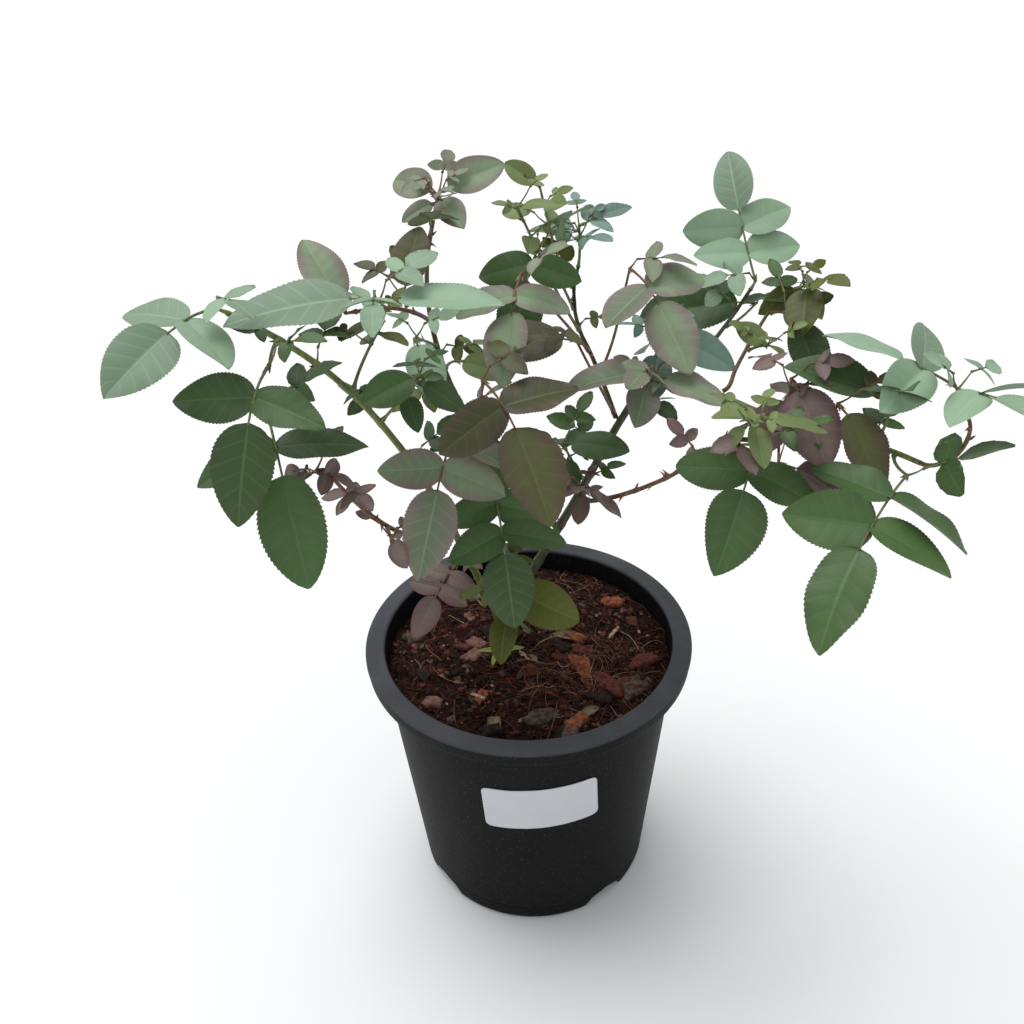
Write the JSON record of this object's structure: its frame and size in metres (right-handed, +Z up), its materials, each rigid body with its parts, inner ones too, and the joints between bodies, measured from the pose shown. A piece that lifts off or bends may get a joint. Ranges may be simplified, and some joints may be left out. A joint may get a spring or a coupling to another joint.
{
  "type": "potted rose bush",
  "caption": "Young bushy rose plant without flowers, with spreading canes and compound leaves, growing in a round black nursery pot.",
  "frame": {"origin": "middle of the pot's flat underside, which stands on the ground", "axes": "+Z up; +X along the wide spread of the bush, to the viewer's right; -Y towards the front, where the label is"},
  "size_m": [0.4093, 0.2775, 0.452],
  "materials": {
    "pot_plastic": "matte",
    "potting_mix": "rough",
    "label_paper": "satin",
    "bark": "satin",
    "foliage": "satin"
  },
  "bodies": {
    "root": {"bough_centre_left": "bark", "bough_centre_top": "bark", "bough_low_left": "bark", "bough_low_right": "bark", "bough_right": "bark", "bough_right_tip": "bark", "bough_top_right": "bark", "bough_upper_right": "bark", "cane_centre": "bark", "cane_left": "bark", "cane_main": "bark", "label": "label_paper", "leaf_centre_up": "foliage", "leaf_dark_centre": "foliage", "leaf_dark_hanging": "foliage", "leaf_fore_centre": "foliage", "leaf_fore_left": "foliage", "leaf_left_low": "foliage", "leaf_lower_right": "foliage", "leaf_mid_front": "foliage", "leaf_mid_left": "foliage", "leaf_mid_right": "foliage", "leaf_over_rim": "foliage", "leaf_right_green": "foliage", "leaf_right_hanging": "foliage", "leaf_summit": "foliage", "leaves_base": "foliage", "leaves_centre_curl": "foliage", "leaves_centre_low_left": "foliage", "leaves_centre_side": "foliage", "leaves_centre_top": "foliage", "leaves_fore_centre_left": "foliage", "leaves_left_big": "foliage", "leaves_left_hanging": "foliage", "leaves_left_inner": "foliage", "leaves_left_mid": "foliage", "leaves_left_tip": "foliage", "leaves_low_left": "foliage", "leaves_low_left_inner": "foliage", "leaves_main_side": "foliage", "leaves_mid_low": "foliage", "leaves_new_red": "foliage", "leaves_right_centre": "foliage", "leaves_right_green": "foliage", "leaves_right_low": "foliage", "leaves_right_tip": "foliage", "leaves_rosette": "foliage", "leaves_top_left": "foliage", "leaves_top_middle": "foliage", "leaves_top_right": "foliage", "leaves_upper_right_inner": "foliage", "leaves_upper_right_low": "foliage", "leaves_upper_right_tip": "foliage", "leaves_wine_lower": "foliage", "leaves_wine_upper": "foliage", "pot": "pot_plastic", "potting_mix": "potting_mix"}
  },
  "joints": []
}
